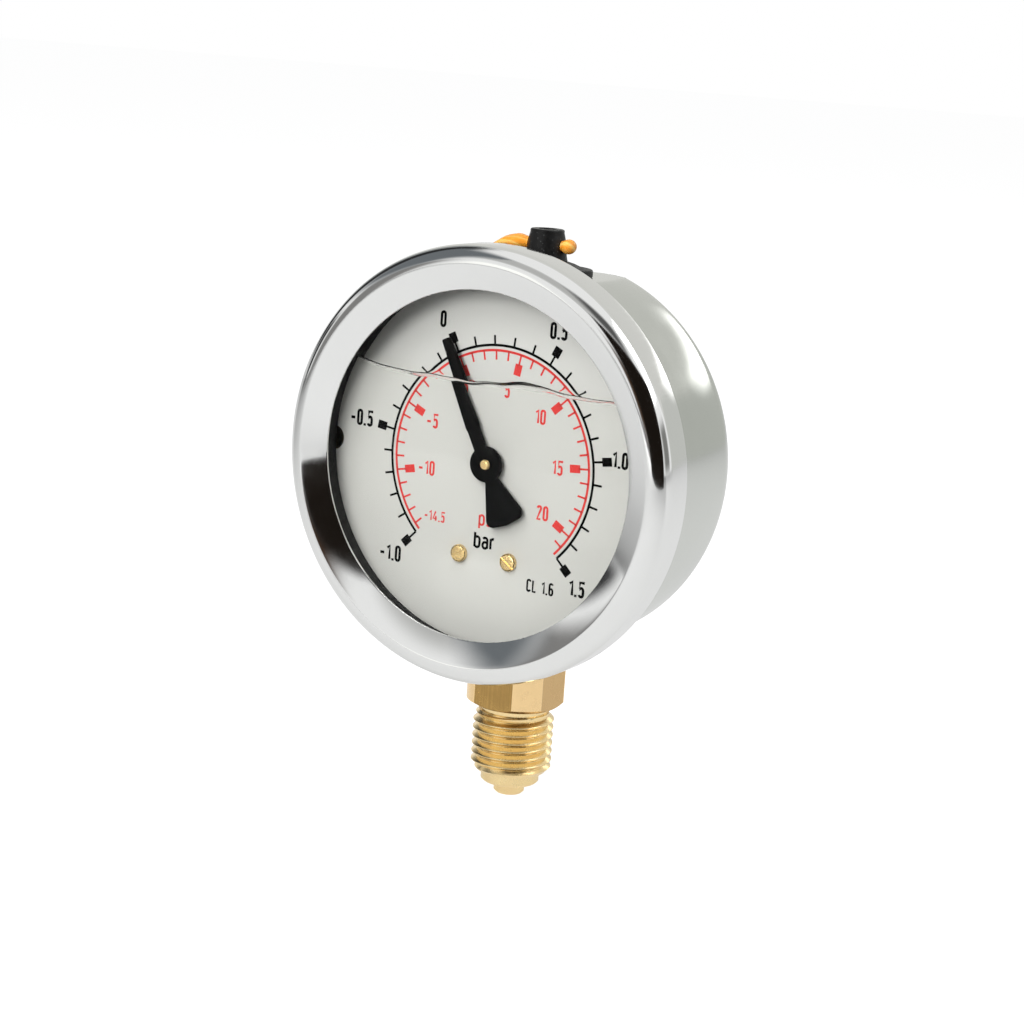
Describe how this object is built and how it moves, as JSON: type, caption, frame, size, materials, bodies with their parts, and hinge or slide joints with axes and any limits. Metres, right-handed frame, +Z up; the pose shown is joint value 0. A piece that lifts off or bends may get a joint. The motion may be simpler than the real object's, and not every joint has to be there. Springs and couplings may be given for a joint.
{
  "type": "pressure gauge",
  "caption": "Round liquid-filled pressure gauge with a crimped steel ring, clear window, dial and pointer, a threaded brass stem below and a vent plug on top.",
  "frame": {"origin": "on the stem's axis, on the sealing face round the spigot below the thread", "axes": "+Z up along the stem, -Y out of the dial, +X to the right of someone who reads the dial"},
  "size_m": [0.068, 0.033, 0.0919],
  "materials": {
    "stainless_case": "satin stainless steel",
    "polished_ring": "polished stainless steel",
    "clear_window": "clear plastic",
    "black_rubber": "matt black rubber",
    "dial_white": "matt off-white paint with printed scales",
    "pointer_black": "matt black paint",
    "brass": "machined brass",
    "tube_bronze": "drawn bronze tube",
    "spring_bronze": "bronze spring strip",
    "screw_steel": "bright steel",
    "lever_orange": "orange moulded plastic"
  },
  "bodies": {
    "gauge_body": {"case": "stainless_case", "crimp_ring": "polished_ring", "window": "clear_window", "window_seal": "black_rubber", "dial": "dial_white", "dial_screw_left": "brass", "dial_screw_right": "brass", "dial_post_left": "brass", "dial_post_right": "brass", "hairspring": "spring_bronze", "hairspring_stud": "brass", "bourdon_tube": "tube_bronze", "movement_front_plate": "brass", "movement_back_plate": "brass", "pillar_upper": "brass", "pillar_left": "brass", "pillar_screw_upper": "screw_steel", "pillar_screw_left": "screw_steel", "foot_screw_upper": "screw_steel", "foot_screw_lower": "screw_steel", "stem": "brass", "stem_gasket": "black_rubber", "stem_screw_left": "screw_steel", "stem_screw_right": "screw_steel", "vent_plug": "black_rubber"},
    "pointer_set": {"pointer": "pointer_black", "pinion_arbor": "brass", "hairspring_collet": "brass"},
    "segment_set": {"segment_gear": "brass", "segment_arbor": "brass", "tail_pin": "brass"},
    "tube_end_set": {"tube_end_piece": "brass", "tip_pin": "brass"},
    "link_set": {"link_bar": "brass"},
    "vent_set": {"vent_turret": "black_rubber", "vent_lever": "lever_orange"}
  },
  "joints": [
    {"name": "pointer_turn", "type": "hinge", "parent": "gauge_body", "child": "pointer_set", "pos_m": [0, -0.0112, 0.054], "axis": [0, 1, 0], "range_deg": [-108, 162], "stiffness_Nm_per_rad": 0.0005, "deforming": ["hairspring"]},
    {"name": "segment_turn", "type": "hinge", "parent": "gauge_body", "child": "segment_set", "pos_m": [0.009, -0.0044, 0.042], "axis": [0, 1, 0], "range_deg": [-23.2, 15.5]},
    {"name": "tube_end_lift", "type": "hinge", "parent": "gauge_body", "child": "tube_end_set", "pos_m": [-0.0049, -0.0044, 0.0495], "axis": [0, 1, 0], "range_deg": [-7, 4.7], "deforming": ["bourdon_tube"]},
    {"name": "link_swing", "type": "hinge", "parent": "tube_end_set", "child": "link_set", "pos_m": [0.015, -0.0057, 0.0491], "axis": [0, 1, 0], "range_deg": [-4.7, 7]},
    {"name": "vent_turn", "type": "hinge", "parent": "gauge_body", "child": "vent_set", "pos_m": [0, 0, 0.088], "axis": [0, 0, -1], "range_deg": [0, 90]}
  ],
  "couplings": [
    {"joint": "segment_turn", "follows": "pointer_turn", "ratio": -0.14286},
    {"joint": "tube_end_lift", "follows": "pointer_turn", "ratio": -0.0426},
    {"joint": "link_swing", "follows": "pointer_turn", "ratio": 0.0426}
  ]
}
